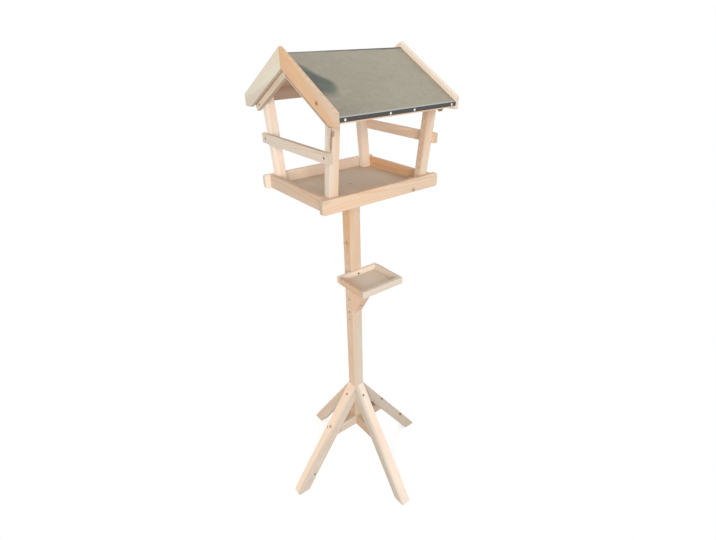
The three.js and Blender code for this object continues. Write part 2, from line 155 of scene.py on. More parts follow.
# A knot, which is narrow on the face where it comes out and goes deep into the piece
KNOT_DEEP = 0.4  # how much a distance into the piece counts against one across its face
KNOT_PUSH = 1.5  # how far it pushes the rings aside, in its own radii
KNOT_PUSH_FADES = 0.30  # how fast that fades out with the square of the distance in radii
KNOT_HALO = 2.6, 0.9  # where the wood round it starts to darken and is darkest, in its radii
KNOT_HEART = 1.05, 0.75  # where it starts and is at its full tone
KNOT_RIM = 0.70, 0.95, 1.0, 1.35  # where its dark rim starts, is full to, and ends

# The noise in the wood, as waves to the metre along the grain and across it
PITH_NOISE = 3.2  # along it alone
RING_NOISE = 9.0, 45.0
PATCH_NOISE = 5.0, 22.0
FIBRE_NOISE = 26.0, 520.0
FLECK_NOISE = 70.0, 1500.0

# The latewood, as shares of the width of a year's ring
LATE_DARKENS = 0.35, 0.90  # where it starts to darken and is darkest
LATE_ENDS = 1.0, 0.93  # where it is over and starts to end
PALEST_YEAR = 0.45  # how dark it is in the palest year, against the darkest

# What marks on the wood do to its red, green and blue
LATEWOOD_TAKES = 0.30, 0.52, 0.72  # how much of the ring depth comes off each
PATCH_TINT = 1.02, 0.91, 0.84
# The tint of the painted shadow on a rafter below its bargeboard
PAINTED_SHADOW_TINT = 0.42, 0.33, 0.26
HALO_TINT = 0.84, 0.62, 0.45

# Steps from one cut to the next, which never come round to the same place
NOISE_STEP = 7.31  # in the noise
GOLDEN_ANGLE = 2.399  # in the side that the pith lies on, in radians
GOLDEN_RATIO = 0.618  # in its distance, as a share of how much that varies
ASLANT_STEPS = 1.7, 2.3  # in how it runs aslant, across the width and the thickness, in radians

# The painted shadow on a rafter below the edge of its bargeboard, and how softly it ends, in metres
PAINTED_SHADOW_STRIP = {"front": 0.0132, "back": 0.0015}
PAINTED_SHADOW_FADES = 0.0016

# The noise in the zinc and on its fixings, as waves to the metre
CLOUD_NOISE = 9.0
SMEAR_NOISE = 14.0, 60.0  # along the ridge and across it
# The next is noise for the painted dark reflection on the front slope
REFLECTION_NOISE = 26.0, 34.0  # in the edges of the damp patch and in its green
GABLE_SHADE_NOISE = 60.0
CRYSTAL_NOISE = 75.0
GRIT_NOISE = 130.0
TARNISH_NOISE = 420.0
SCRATCH_NOISE = 1900.0

# The edges of the painted dark reflection on the roof, in metres and seen from above: a point on
# each slanting edge with the way out of the patch, how ragged both are, and where it fades out
# towards the eave
REFLECTION_EDGES = ((-0.165, -0.045), (0.797, 0.604)), ((-0.112, -0.115), (0.889, -0.457))
REFLECTION_RAGGED = 0.022
REFLECTION_FADES = -0.165, -0.130

# The painted dark reflections at the bends, the painted highlight above each eave and the painted
# shade with soiling along the left gable, in metres from the ridge, from an eave and from the left
# gable: where each starts to show, and where it is whole
RIDGE_REFLECTION = 0.0078, 0.0030
EAVE_LIP = 0.0011, 0.0004
EAVE_HIGHLIGHT = 0.0060, 0.0028
GABLE_SHADE_AND_SOIL = 0.0065, 0.0015

# The nails of the roof sheet, in metres
NAIL_INSET = 0.015  # from the sheet's end to the last nail
NAIL_SHARES = -1, -0.225, 0.225, 1  # where each is, as a share of the way out to the last
NAIL_HEIGHT = 0.0044  # above the sheet's lower edge
NAIL_SHANK = 0.0130
NAIL_SINKS = 0.0001  # how far the rim of a head goes into the sheet, so that no gap shows

# A screw's head and the cross in it, as shares of its radius
HEAD_DEEP = 0.66
CROSS_ARM = 0.62
CROSS_HALF_WIDE = 0.15  # half the width of an arm
CROSS_FLOOR = 0.5  # how wide its floor is, as a share of its mouth
CROSS_DEEP = 0.62  # how deep it goes, as a share of the head

# The least angle of an edge that stays sharp on a screw or a nail
SHARP_FROM = math.radians(32)

# The floor: how far it lies below the feet, in metres, and the share of the shadow's reach to which
# it shows the whole shadow
FLOOR_GAP = 0.0004
SHADOW_WHOLE = 0.55


def colour(name, words, default):
    """A colour that a user can change."""
    return FloatVectorProperty(
        name=name, description=words, subtype="COLOR", size=3, min=0, max=1, default=default
    )


def length(name, words, default):
    """A length that a user can change, in metres."""
    return FloatProperty(
        name=name, description=words, unit="LENGTH", precision=5, min=0, default=default
    )


def share(name, words, default, top=1.0):
    """A share or a strength that a user can change."""
    return FloatProperty(
        name=name, description=words, subtype="FACTOR", min=0, max=top, default=default
    )


def power(name, words, default):
    """The power of a lamp that a user can change."""
    return FloatProperty(name=name, description=words, unit="POWER", min=0, default=default)


class PineSettings(bpy.types.PropertyGroup):
    """The tones of the pine and how its grain shows"""

    ivory: colour("Ivory", "The palest pine, as on the back house posts", (0.95, 0.82, 0.69))
    ash: colour("Ash", "Pale pine with little yellow, as on the left rail", (0.82, 0.72, 0.60))
    cream: colour("Cream", "Pale pine, as on the right front house post", (0.82, 0.69, 0.54))
    apricot: colour("Apricot", "Pale pine with some orange, as on the left leg", (0.96, 0.77, 0.60))
    peach: colour("Peach", "Pine with a pink cast, as on the tray's boards", (0.84, 0.64, 0.47))
    honey: colour("Honey", "Warm yellow pine, as on the strut", (0.78, 0.55, 0.39))
    amber: colour("Amber", "Orange heartwood, as on the left front bargeboard", (0.86, 0.56, 0.33))
    russet: colour("Russet", "The darkest heartwood, as under the roof", (0.71, 0.41, 0.25))
    tan: colour("Tan", "Brown heartwood, as on the left brace", (0.74, 0.54, 0.39))
    silvered: colour("Silvered", "Greyed pine, as on the left back bargeboard", (0.86, 0.81, 0.66))
    rose: colour("Rose", "Pine gone a greyish pink, as on the tray's floor", (0.78, 0.68, 0.56))
    # Clay is also the heartwood on the shaded sides of the left and front legs, where it is painted
    # shade
    clay: colour("Clay", "Pine gone a dull grey, as on the right leg", (0.69, 0.60, 0.50))
    knot: colour("Knot", "The heart of a knot", (0.17, 0.075, 0.035))
    ring_spacing: length("Ring spacing", "Distance from one growth ring to the next", 0.0031)
    ring_depth: share("Ring depth", "How much darker the latewood is", 0.36)
    end_soak: share("End soak", "How much darker a sawn end is", 0.12)
    # Painted shade: the share by which every face that looks down is darkened
    underside_shade: share("Grime", "How much darker an underside is", 0.22)
    relief: length("Relief", "How far the fibres stand out of the planed face", 0.00018)


class MetalSettings(bpy.types.PropertyGroup):
    """The tones of the roof sheet and its fixings, and the sizes of their heads"""

    sheet: colour("Zinc sheet", "The open face of the roof", (0.45, 0.41, 0.32))
    # A painted dark reflection on the front slope: its green and its grey
    reflection_green: colour("Bloom", "The green of the patch where damp has lain", (0.088, 0.132, 0.088))
    reflection_grey: colour("Slate", "The grey of that patch", (0.108, 0.116, 0.116))
    # Painted shade with some soiling along the left bargeboards
    shade_and_soil: colour("Dirt", "What gathers along the left bargeboards", (0.075, 0.055, 0.040))
    # A painted dark reflection at the bends of the ridge and eaves
    bend_reflection: colour("Fold", "The zinc where it is bent at the ridge and eaves", (0.092, 0.091, 0.090))
    # A painted highlight above the bend at the eaves
    eave_highlight: colour("Crease", "The bright line above the bend at the eaves", (0.62, 0.66, 0.64))
    screw: colour("Screw", "The dulled plating of the screws", (0.30, 0.26, 0.22))
    nail: colour("Nail", "The bright heads of the roof nails", (0.88, 0.89, 0.90))
    nail_radius: length("Nail radius", "Radius of a roof nail's head", 0.0030)
    nail_rise: length("Nail rise", "How far a roof nail's head stands off the sheet", 0.0011)
    sides: IntProperty(name="Sides", description="Sides of a round head", min=8, max=48, default=20)


class StageSettings(bpy.types.PropertyGroup):
    """The floor and the light"""

    floor: colour("Floor", "The floor as it lights the object from below", (0.58, 0.58, 0.58))
    near_floor: colour("Near floor", "The floor that shows the shadow", (0.72, 0.72, 0.72))
    floor_radius: length("Floor radius", "How far the floor reaches", 9.0)
    shadow_reach: length("Shadow reach", "How far from the middle the floor shows a shadow", 1.1)
    glow: share("Glow", "How far the floor near the object is lifted towards white", 0.50)
    sky: share("Sky", "Soft light from all round", 0.62, 4)
    key: power("Key", "Power of the softbox in front", 116)
    fill: power("Fill", "Power of the softbox behind", 14)


class Wire:
    """A socket that can be used in a sum: each operator adds the node that works it out."""

    def __init__(self, finish, socket):
        self.finish = finish
        self.socket = socket

    def worked(self, operation, *values):
        """Adds the node for an operation, on vectors where any of the values is one."""
        kind = "ShaderNodeMath"
        if any(holds_vector(value) for value in values):
            kind = "ShaderNodeVectorMath"
            values = [v if isinstance(v, (Wire, tuple)) else (v, v, v) for v in values]
        return self.finish.node(kind, {"operation": operation}, enumerate(values))

    def __add__(self, other):
        return self.worked("ADD", self, other)

    def __radd__(self, other):
        return self.worked("ADD", other, self)

    def __sub__(self, other):
        return self.worked("SUBTRACT", self, other)

    def __rsub__(self, other):
        return self.worked("SUBTRACT", other, self)

    def __mul__(self, other):
        return self.worked("MULTIPLY", self, other)

    def __rmul__(self, other):
        return self.worked("MULTIPLY", other, self)

    def __truediv__(self, other):
        return self.worked("DIVIDE", self, other)

    def __rtruediv__(self, other):
        return self.worked("DIVIDE", other, self)

    def __neg__(self):
        return self.worked("MULTIPLY", self, -1.0)

    def __abs__(self):
        return self.worked("ABSOLUTE", self)

    def fraction(self):
        return self.worked("FRACT", self)

    def whole(self):
        return self.worked("FLOOR", self)

    def root(self):
        return self.worked("SQRT", self)

    def fading(self):
        """e to the minus this value: one at nought, and fading out as the value grows."""
        return self.worked("EXPONENT", -self)

    def higher(self, other):
        return self.worked("MAXIMUM", self, other)

    def along(self, way):
        """How far a vector reaches along a fixed way."""
        settings = {"operation": "DOT_PRODUCT"}
        return self.finish.node("ShaderNodeVectorMath", settings, {0: self, 1: tuple(way)}, "Value")

    def step(self, start, end):
        """A smooth rise from 0 at start to 1 at end, and back down where end is the lower."""
        low, high = (0.0, 1.0) if start < end else (1.0, 0.0)
        settings = {"interpolation_type": "SMOOTHSTEP"}
        bounds = {"Value": self, 1: min(start, end), 2: max(start, end), 3: low, 4: high}
        return self.finish.node("ShaderNodeMapRange", settings, bounds)


def holds_vector(value):
    """Whether a value is a vector or a colour, and not one number."""
    if isinstance(value, Wire):
        return value.socket.type in {"VECTOR", "RGBA"}
    return isinstance(value, tuple)


class Finish:
    """The nodes of a material or of the world, and the ways to add to them."""

    def __init__(self, owner):
        owner.use_nodes = True
        owner.node_tree.nodes.clear()
        self.owner = owner

    def node(self, kind, settings=(), inputs=(), output=0):
        """Adds a node, with its settings and then its sockets' values or links. Gives an output."""
        tree = self.owner.node_tree
        made = tree.nodes.new(kind)
        for key, value in dict(settings).items():
            setattr(made, key, value)
        for key, value in dict(inputs).items():
            if isinstance(value, Wire):
                tree.links.new(value.socket, made.inputs[key])
            else:
                made.inputs[key].default_value = value
        return Wire(self, made.outputs[output]) if made.outputs else None

    def seen(self):
        """Whether the camera looks at it, by itself or by way of something shiny or clear."""
        camera, glossy, clear = (
            self.node("ShaderNodeLightPath", output=f"Is {ray} Ray")
            for ray in ("Camera", "Glossy", "Transmission")
        )
        return camera.higher(glossy).higher(clear)

    def place(self):
        """Where a point of the surface is in the object, in metres."""
        return self.node("ShaderNodeTexCoord", output="Object")

    def facing(self):
        """The way the true surface faces."""
        return self.node("ShaderNodeNewGeometry", output="True Normal")

    def vector(self, x, y, z):
        """A vector of three values."""
        return self.node("ShaderNodeCombineXYZ", inputs={0: x, 1: y, 2: z})

    def noise(self, at, detail=2.0, roughness=0.5, output="Fac"):
        """Noise with about one wave for each unit of its place."""
        inputs = {"Vector": at, "Scale": 1.0, "Detail": detail, "Roughness": roughness}
        return self.node("ShaderNodeTexNoise", {}, inputs, output)

    def chance(self, value):
        """A number between 0 and 1 that is the same wherever the value is."""
        settings = {"noise_dimensions": "1D"}
        return self.node("ShaderNodeTexWhiteNoise", settings, {"W": value}, "Value")

    def blend(self, amount, first, second):
        """A colour between two, each a tone or a wire."""
        first, second = ((*c, 1.0) if isinstance(c, tuple) else c for c in (first, second))
        settings = {"data_type": "RGBA", "blend_type": "MIX", "clamp_factor": True}
        return self.node("ShaderNodeMix", settings, {0: amount, 6: first, 7: second}, 2)

    def stain(self, amount, base, tint):
        """A colour between a base and that base seen through a tint."""
        return self.blend(amount, base, base * tint)

    def relief(self, height, strength, distance):
        """The way the surface faces where a height raises it, by up to a distance in metres."""
        inputs = {"Height": height, "Strength": strength, "Distance": distance}
        return self.node("ShaderNodeBump", {}, inputs, "Normal")

    def shader(self, kind, tone, strength=None):
        """A plain shader of one tone, and of one strength where it has any."""
        inputs = {"Color": (*tone, 1.0)}
        if strength is not None:
            inputs["Strength"] = strength
        return self.node(kind, {}, inputs)

    def mixed(self, amount, first, second):
        """A shader between two."""
        return self.node("ShaderNodeMixShader", {}, {0: amount, 1: first, 2: second})

    def done(self, base, roughness, normal, metallic=0.0, specular=0.5):
        """Joins everything to the shader, and gives the material."""
        inputs = {
            "Base Color": base,
            "Roughness": roughness,
            "Metallic": metallic,
            "Specular IOR Level": specular,
            "Normal": normal,
        }
        surface = self.node("ShaderNodeBsdfPrincipled", {}, inputs)
        self.node("ShaderNodeOutputMaterial", {}, {"Surface": surface})
        return self.owner


def toned(tone, light=1.0):
    """A tone as (r, g, b), made lighter or darker."""
    return tuple(min(1.0, c * light) for c in tone)


def board_axes(node):
    """The grain, the width and the thickness of a piece, found from the areas of its faces."""
    areas = {}
    for face in NODES[node].data.polygons:
        way = tuple(round(c, 2) for c in face.normal)
        way = max(way, tuple(-c for c in way))
        areas[way] = areas.get(way, 0.0) + face.area
    ways = [Vector(way).normalized() for way in sorted(areas, key=areas.get, reverse=True)]
    broad = ways[0]
    narrow = next(way for way in ways[1:] if abs(way.dot(broad)) < SLANTING)
    grain = broad.cross(narrow).normalized()
    width = broad.cross(grain).normalized()
    return grain, width, broad


def cut_of(node):
    """The cut of a piece, from the longest name in the list that its own starts with."""
    return CUTS[max((key for key in CUTS if node.startswith(key)), key=len)]


def middle_of(node, axes):
    """The middle of a piece, and half its size along each of its own axes."""
    spans = []
    for axis in axes:
        along = [v.co.dot(axis) for v in NODES[node].data.vertices]
        spans.append((min(along), max(along)))
    middle = sum((axis * (a + b) / 2 for axis, (a, b) in zip(axes, spans)), Vector())
    return middle, [(b - a) / 2 for a, b in spans]


def pith_of(axes, halves, side, order):
    """Which way the pith lies from the middle of a piece, across its grain, and how far."""
    if side is None:
        turn = order * GOLDEN_ANGLE
        distance = PITH_NEAREST + PITH_VARIES * ((order * GOLDEN_RATIO) % 1)
        return math.cos(turn), math.sin(turn), distance
    shares = [Vector(side).dot(axis) for axis in axes]
    out = math.hypot(*shares)
    to_face = sum(abs(s) * half for s, half in zip(shares, halves))
    return *(s / out for s in shares), to_face + PITH_CLEAR * out


def rafter_painted_shadow(finish, node, wood):
    """Paints the bargeboard's shadow on a rafter, where the rafter comes out from under it."""
    cover = node.replace("rafter_", "bargeboard_")
    rise = board_axes(cover)[1]
    rise = rise if rise.z > 0 else -rise
    edge = min(v.co.dot(rise) for v in NODES[cover].data.vertices)
    above_edge = finish.place().along(rise) - edge
    strip = PAINTED_SHADOW_STRIP["front" if node.endswith("front") else "back"]
    in_shadow = above_edge.step(-strip - PAINTED_SHADOW_FADES, -strip)
    return finish.stain(in_shadow * 0.75, wood, PAINTED_SHADOW_TINT)


def knot_marks(finish, knots, wood, tone):
    """Draws each knot with its halo, heart and dark rim, and gives the wood and the rims."""
    starts, full, full_to, ends = KNOT_RIM
    rims = None
    for far, dark in knots:
        wood = finish.stain(far.step(*KNOT_HALO) * (0.40 * dark), wood, HALO_TINT)
        heart = finish.blend(far.step(0.0, 0.9), toned(tone, 2.3), toned(tone))
        wood = finish.blend(far.step(*KNOT_HEART) * (0.90 * dark), wood, heart)
        rim = far.step(starts, full) * far.step(ends, full_to)
        wood = finish.blend(rim * (0.60 * dark), wood, toned(tone, 0.7))
        rims = rim if rims is None else rims.higher(rim)
    return wood, rims


def pine(node, order):
    """Sawn pine: growth rings round a pith beside the piece, fibres along it, and its knots."""
    settings = bpy.context.scene.bird_table_pine
    axes = grain, width, broad = board_axes(node)
    middle, halves = middle_of(node, axes)
    sap_tone, heart_tone, light, side = cut_of(node)
    sap = toned(getattr(settings, sap_tone), light)
    heart = toned(getattr(settings, heart_tone), light)

    finish = Finish(bpy.data.materials.new("pine_" + node))
    at = finish.place() - tuple(middle)
    u, v, w = (at.along(axis) for axis in axes)
    shift = order * NOISE_STEP

    def drawn_out(along, across, **how):
        """Noise with so many waves to the metre along the grain and across it."""
        at_waves = finish.vector(u * along, v * across, w * across) + shift
        return finish.noise(at_waves, **how)

    # The pith lies off one face, a little aslant, and strays along the piece
    toward_v, toward_w, distance = pith_of((width, broad), halves[1:], side, order)
    lean = Vector(side).dot(grain) if side else 0.0
    pith = distance - u * lean
    at_waves = finish.vector(u * PITH_NOISE + shift, 0.0, 0.0)
    strays = finish.noise(at_waves, detail=1.5, output="Color") - 0.5
    aslant_v = PITH_ASLANT * math.sin(order * ASLANT_STEPS[0])
    aslant_w = PITH_ASLANT * math.cos(order * ASLANT_STEPS[1])
    off_v = v - pith * toward_v + strays.along((PITH_STRAYS, 0, 0)) + u * aslant_v
    off_w = w - pith * toward_w + strays.along((0, PITH_STRAYS, 0)) + u * aslant_w
    radius = (off_v * off_v + off_w * off_w).root()
    wavers = drawn_out(*RING_NOISE) - 0.5
    radius = radius + wavers * RING_WAVERS
    hearty = (radius + wavers * EDGE_WAVERS).step(SAPWOOD_FROM, HEARTWOOD_TO)

    # Each knot pushes the rings aside
    knots = []
    for place, size, dark, drawn in (row[1:] for row in KNOTS if row[0] == node):
        off = Vector(place) - middle
        du = (u - off.dot(grain)) / (size * drawn)
        dv = (v - off.dot(width)) / size
        dw = (w - off.dot(broad)) / size
        if abs(off.dot(broad)) / halves[2] > abs(off.dot(width)) / halves[1]:
            dw = dw * KNOT_DEEP
        else:
            dv = dv * KNOT_DEEP
        far = du * du + dv * dv + dw * dw
        radius = radius + (far * KNOT_PUSH_FADES).fading() * (size * KNOT_PUSH)
        knots.append((far.root(), dark))

    # Each year's ring darkens slowly and ends sharply, and some years are darker than others
    years = radius / settings.ring_spacing
    darkness = PALEST_YEAR + (1 - PALEST_YEAR) * finish.chance(years.whole() + shift)
    season = years.fraction()
    late = season.step(*LATE_DARKENS) * season.step(*LATE_ENDS) * darkness

    fibres = drawn_out(*FIBRE_NOISE, detail=3.0, roughness=0.6)
    flecks = drawn_out(*FLECK_NOISE, detail=1.0).step(0.66, 0.74)
    patches = drawn_out(*PATCH_NOISE, output="Color") - 0.5

    wood = finish.blend(hearty, sap, heart)
    wood = finish.stain(patches.along(Y).step(0.0, 0.20) * 0.55, wood, PATCH_TINT)
    latewood = tuple(1 - settings.ring_depth * k for k in LATEWOOD_TAKES)
    wood = finish.stain(late, wood, latewood)
    wood = wood * (1.0 + (fibres - 0.5) * 0.11 + patches.along((0.20, 0, 0)) - flecks * 0.03)

    # Sawn ends drink in more soiling and show the rings harder, and undersides get painted shade
    end = abs(finish.facing().along(grain)).step(0.45, 0.75)
    wood = wood * (1.0 - end * (settings.end_soak + 0.20 * late))
    wood = wood * (1.0 - settings.underside_shade * finish.facing().along(Z).step(-0.35, -0.75))
    # Painted shadow where a rafter comes out from under its bargeboard
    if node.startswith("rafter_"):
        wood = rafter_painted_shadow(finish, node, wood)

    wood, rims = knot_marks(finish, knots, wood, settings.knot)
    height = fibres * 0.55 + late * 0.30 - flecks * 0.5
    if rims is not None:
        height = height - rims * 0.8
    roughness = 0.60 + fibres * 0.14 - late * 0.08 + end * 0.1
    normal = finish.relief(height, 0.38, settings.relief)
    return finish.done(wood, roughness, normal, specular=0.32)


def zinc_sheet():
    """Weathered zinc: crystals, clouds and grit, a painted dark reflection on one slope, and
    painted dark reflections and a painted highlight at its bends.
    """
    settings = bpy.context.scene.bird_table_metal
    low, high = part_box("roof_sheet")
    finish = Finish(bpy.data.materials.new("zinc_sheet"))
    at = finish.place()
    x, y, z = (at.along(axis) for axis in (X, Y, Z))

    clouds = finish.noise(at * CLOUD_NOISE, detail=3.0)
    grit = finish.noise(at * GRIT_NOISE, detail=3.0, roughness=0.65)
    along, across = SMEAR_NOISE
    smear = finish.noise(finish.vector(x * along, y * across, z * across))
    grains = {"Vector": at, "Scale": CRYSTAL_NOISE}
    crystals = finish.node("ShaderNodeTexVoronoi", {"feature": "F1"}, grains, "Color")
    cooler = tuple(c * k for c, k in zip(settings.sheet, (0.95, 0.96, 1.0)))
    sheet = finish.blend(smear * 0.5, toned(settings.sheet), cooler)

    # It is darker towards the left gable, and darkest at the front corner there
    shade = 0.84 + x.step(-0.17, 0.15) * 0.10 - x.step(-0.06, -0.18) * y.step(-0.12, -0.21) * 0.10
    mottled = 1.0 + (clouds - 0.5) * 0.22 + (grit - 0.5) * 0.22
    sheet = sheet * shade * (mottled + (crystals.along((0.08, 0, 0)) - 0.04))

    # Painted: a dark reflection on the front slope beside the left bargeboard, and shade with some
    # soiling all along both of them
    edge_noise, green_noise = REFLECTION_NOISE
    ragged = finish.noise(at * edge_noise, detail=3.0, roughness=0.6) - 0.5
    upper, outer = (
        (x - edge_x) * out_x + (y - edge_y) * out_y + ragged * REFLECTION_RAGGED
        for (edge_x, edge_y), (out_x, out_y) in REFLECTION_EDGES
    )
    patch = upper.step(0.005, -0.013) * outer.step(0.006, -0.018) * y.step(*REFLECTION_FADES)
    green = finish.noise(at * green_noise, detail=1.0).step(0.40, 0.60)
    painted_reflection = finish.blend(green, toned(settings.reflection_grey), toned(settings.reflection_green))
    sheet = finish.blend(patch * (0.85 + ragged * 0.8), sheet, painted_reflection)
    shade_and_soil = (x - low.x).step(*GABLE_SHADE_AND_SOIL) * finish.noise(at * GABLE_SHADE_NOISE).step(0.30, 0.62)
    sheet = finish.blend(shade_and_soil * 0.75, sheet, toned(settings.shade_and_soil))

    # Painted reflections: the bend at the ridge is a soft dark band, wider to the right, and the
    # lip at each eave is dark below a painted bright highlight
    from_ridge = abs(y)
    from_eave = high.y - from_ridge
    spread = x.step(-0.10, 0.17) * 0.0025 + (smear - 0.5) * 0.006
    ridge = (from_ridge - spread).step(*RIDGE_REFLECTION) * (0.60 + x.step(-0.15, 0.05) * 0.30)
    lip = from_eave.step(*EAVE_LIP)
    eave_highlight = from_eave.step(*EAVE_HIGHLIGHT) * (1.0 - lip)
    sheet = finish.blend(ridge, sheet, toned(settings.bend_reflection))
    sheet = finish.blend(lip, sheet, toned(settings.bend_reflection))
    sheet = finish.blend(eave_highlight * 0.55, sheet, toned(settings.eave_highlight))

    roughness = 0.42 + clouds * 0.12 + (grit - 0.5) * 0.10
    normal = finish.relief(grit * 0.6 + clouds * 0.6, 0.18, 0.0006)
    return finish.done(sheet, roughness, normal, metallic=0.75)


def plated(name, tone, roughness, tarnish):
    """Plated steel: fine scratches and a little tarnish."""
    finish = Finish(bpy.data.materials.new(name))
    at = finish.place()
    stained = finish.noise(at * TARNISH_NOISE, detail=3.0).step(0.45, 0.70)
    scratch = finish.noise(at * SCRATCH_NOISE)
    base = finish.blend(stained * tarnish, toned(tone), toned(tone, 0.45))
    normal = finish.relief(scratch, 0.2, 0.00005)
    return finish.done(base, roughness + scratch * 0.2, normal, metallic=0.85)


def dress(group):
    """Gives each piece of a group of timber its own cut of pine."""
    starts, first = TIMBER[group]
    nodes = sorted(n for n in NODES if n.startswith(starts) and "screw" not in n)
    for order, node in enumerate(nodes, first):
        give_material(node, pine(node, order))


def give_material(node, material):
    """Gives a node one material all over."""
    materials = NODES[node].data.materials
    materials.clear()
    materials.append(material)


def new_piece(name, mesh, material):
    """Makes an object of a bmesh, smooth but for its sharp edges, riding on the table."""
    bmesh.ops.recalc_face_normals(mesh, faces=mesh.faces)
    data = bpy.data.meshes.new(name)
    mesh.to_mesh(data)
    mesh.free()
    data.materials.append(material)
    data.shade_smooth()
    data.set_sharp_from_angle(angle=SHARP_FROM)
    piece = bpy.data.objects.new(name, data)
    bpy.context.scene.collection.objects.link(piece)
    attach(piece, "root")
    return piece


def circle(mesh, radius, height, count):
    """A ring of corners round the local Z axis."""
    turns = [2 * math.pi * i / count for i in range(count)]
    return [mesh.verts.new((radius * math.cos(t), radius * math.sin(t), height)) for t in turns]


def neighbours(ring):
    """Each corner of a ring with the next one."""
    return zip(ring, ring[1:] + ring[:1])


def join_rings(mesh, lower, upper):
    """Faces between two rings of the same count."""
    for (a, b), (c, d) in zip(neighbours(lower), neighbours(upper)):
        mesh.faces.new((a, b, d, c))


def turned(mesh, profile, count):
    """A turned surface through pairs of radius and height, and the rings that it is made of."""
    rings = [circle(mesh, radius, height, count) for radius, height in profile]
    for upper, lower in zip(rings, rings[1:]):
        join_rings(mesh, lower, upper)
    return rings


def set_in(mesh, part, place):
    """Moves a part to its place and adds it to a mesh."""
    part.transform(place)
    data = bpy.data.meshes.new("part")
    part.to_mesh(data)
    part.free()
    mesh.from_mesh(data)
    bpy.data.meshes.remove(data)


def facing_frame(way):
    """A turn that points the local Z axis along a way."""
    return way.to_track_quat("Z", "Y").to_matrix().to_4x4()


def screw_place(node):
    """The frame of a screw: its head's face in the middle, its Z axis out of it, and its sizes."""
    corners = [v.co.copy() for v in NODES[node].data.vertices]
    centre = sum(corners, Vector()) / len(corners)
    tip = max(corners, key=lambda c: (c - centre).length)
    out = (centre - tip).normalized()
    spots = [((c - tip).dot(out), ((c - tip) - out * (c - tip).dot(out)).length) for c in corners]
    long = max(rise for rise, _ in spots)
    radius = max(away for _, away in spots)
    shank = min(away for rise, away in spots if 0.3 * long < rise < 0.96 * long)
    return Matrix.Translation(tip + out * long) @ facing_frame(out), radius, shank, long


def cross_screw(mesh, node, count):
    """A countersunk screw with a cross recess, in place of a plain one."""
    place, radius, shank, long = screw_place(node)
    part = bmesh.new()
    cone = radius * HEAD_DEEP
    profile = [
        (radius * 0.93, 0.0),
        (radius, -radius * 0.07),
        (radius * 0.98, -radius * 0.14),
        (shank, -cone),
        (shank, shank * 1.6 - long),
        (shank * 0.15, -long),
    ]
    rings = turned(part, profile, count)
    part.faces.new(rings[-1])

    arm, half = radius * CROSS_ARM, radius * CROSS_HALF_WIDE
    cross = [
        (arm, -half), (arm, half), (half, half),
        (half, arm), (-half, arm), (-half, half),
        (-arm, half), (-arm, -half), (-half, -half),
        (-half, -arm), (half, -arm), (half, -half),
    ]
    mouth = [part.verts.new((x, y, 0.0)) for x, y in cross]
    ends = [(x * CROSS_FLOOR, y * CROSS_FLOOR, -cone * CROSS_DEEP) for x, y in cross]
    floor = [part.verts.new(end) for end in ends]
    join_rings(part, mouth, floor)
    part.faces.new(floor)
    edges = [part.edges.get(pair) for ring in (rings[0], mouth) for pair in neighbours(ring)]
    bmesh.ops.triangle_fill(part, edges=edges, use_beauty=True)
    set_in(mesh, part, place)


def dome_nail(mesh, place, radius, rise, count):
    """A nail with a low domed head and a short shank."""
    part = bmesh.new()
    profile = [
        (radius * 0.45, rise * 0.93),
        (radius * 0.80, rise * 0.68),
        (radius, rise * 0.22),
        (radius * 0.96, -NAIL_SINKS),
        (radius * 0.32, -NAIL_SINKS),
        (radius * 0.30, -NAIL_SHANK),
    ]
    rings = turned(part, profile, count)
    crown = part.verts.new((0, 0, rise))
    for pair in neighbours(rings[0]):
        part.faces.new((*pair, crown))
    part.faces.new(rings[-1])
    set_in(mesh, part, place)


class BIRDTABLE_OT_stand(bpy.types.Operator):
    """Finish the post, its legs and its braces in pine"""

    bl_idname = "birdtable.stand"
    bl_label = "Stand"

    def execute(self, context):
        dress("stand")
        return {"FINISHED"}


class BIRDTABLE_OT_trays(bpy.types.Operator):
    """Finish both trays and the strut in pine"""

    bl_idname = "birdtable.trays"
    bl_label = "Trays"

    def execute(self, context):
        dress("trays")
        return {"FINISHED"}


class BIRDTABLE_OT_house(bpy.types.Operator):
    """Finish the house posts, rails and rafters in pine"""

    bl_idname = "birdtable.house"
    bl_label = "House"

    def execute(self, context):
        dress("house")
        return {"FINISHED"}


class BIRDTABLE_OT_roof_boards(bpy.types.Operator):
    """Finish the bargeboards and the roof panels in pine"""

    bl_idname = "birdtable.roof_boards"
    bl_label = "Roof boards"

    def execute(self, context):
        dress("roof_boards")
        return {"FINISHED"}


class BIRDTABLE_OT_roof_sheet(bpy.types.Operator):
    """Finish the folded roof sheet in weathered zinc"""

    bl_idname = "birdtable.roof_sheet"
    bl_label = "Roof sheet"

    def execute(self, context):
        give_material("roof_sheet", zinc_sheet())
        return {"FINISHED"}


class BIRDTABLE_OT_screws(bpy.types.Operator):
    """Make the countersunk screws with their cross recesses"""

    bl_idname = "birdtable.screws"
    bl_label = "Screws"

    def execute(self, context):
        settings = context.scene.bird_table_metal
        material = plated("screw_plating", settings.screw, roughness=0.38, tarnish=0.6)
        for name, starts in SCREWS.items():
            screws = sorted(n for n in NODES if n.startswith(starts))
            if not screws:
                raise RuntimeError(f"{name} has no screws in the frame")
            mesh = bmesh.new()
            for screw in screws:
                cross_screw(mesh, screw, settings.sides)
            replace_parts(new_piece(name, mesh, material), *screws)
        return {"FINISHED"}


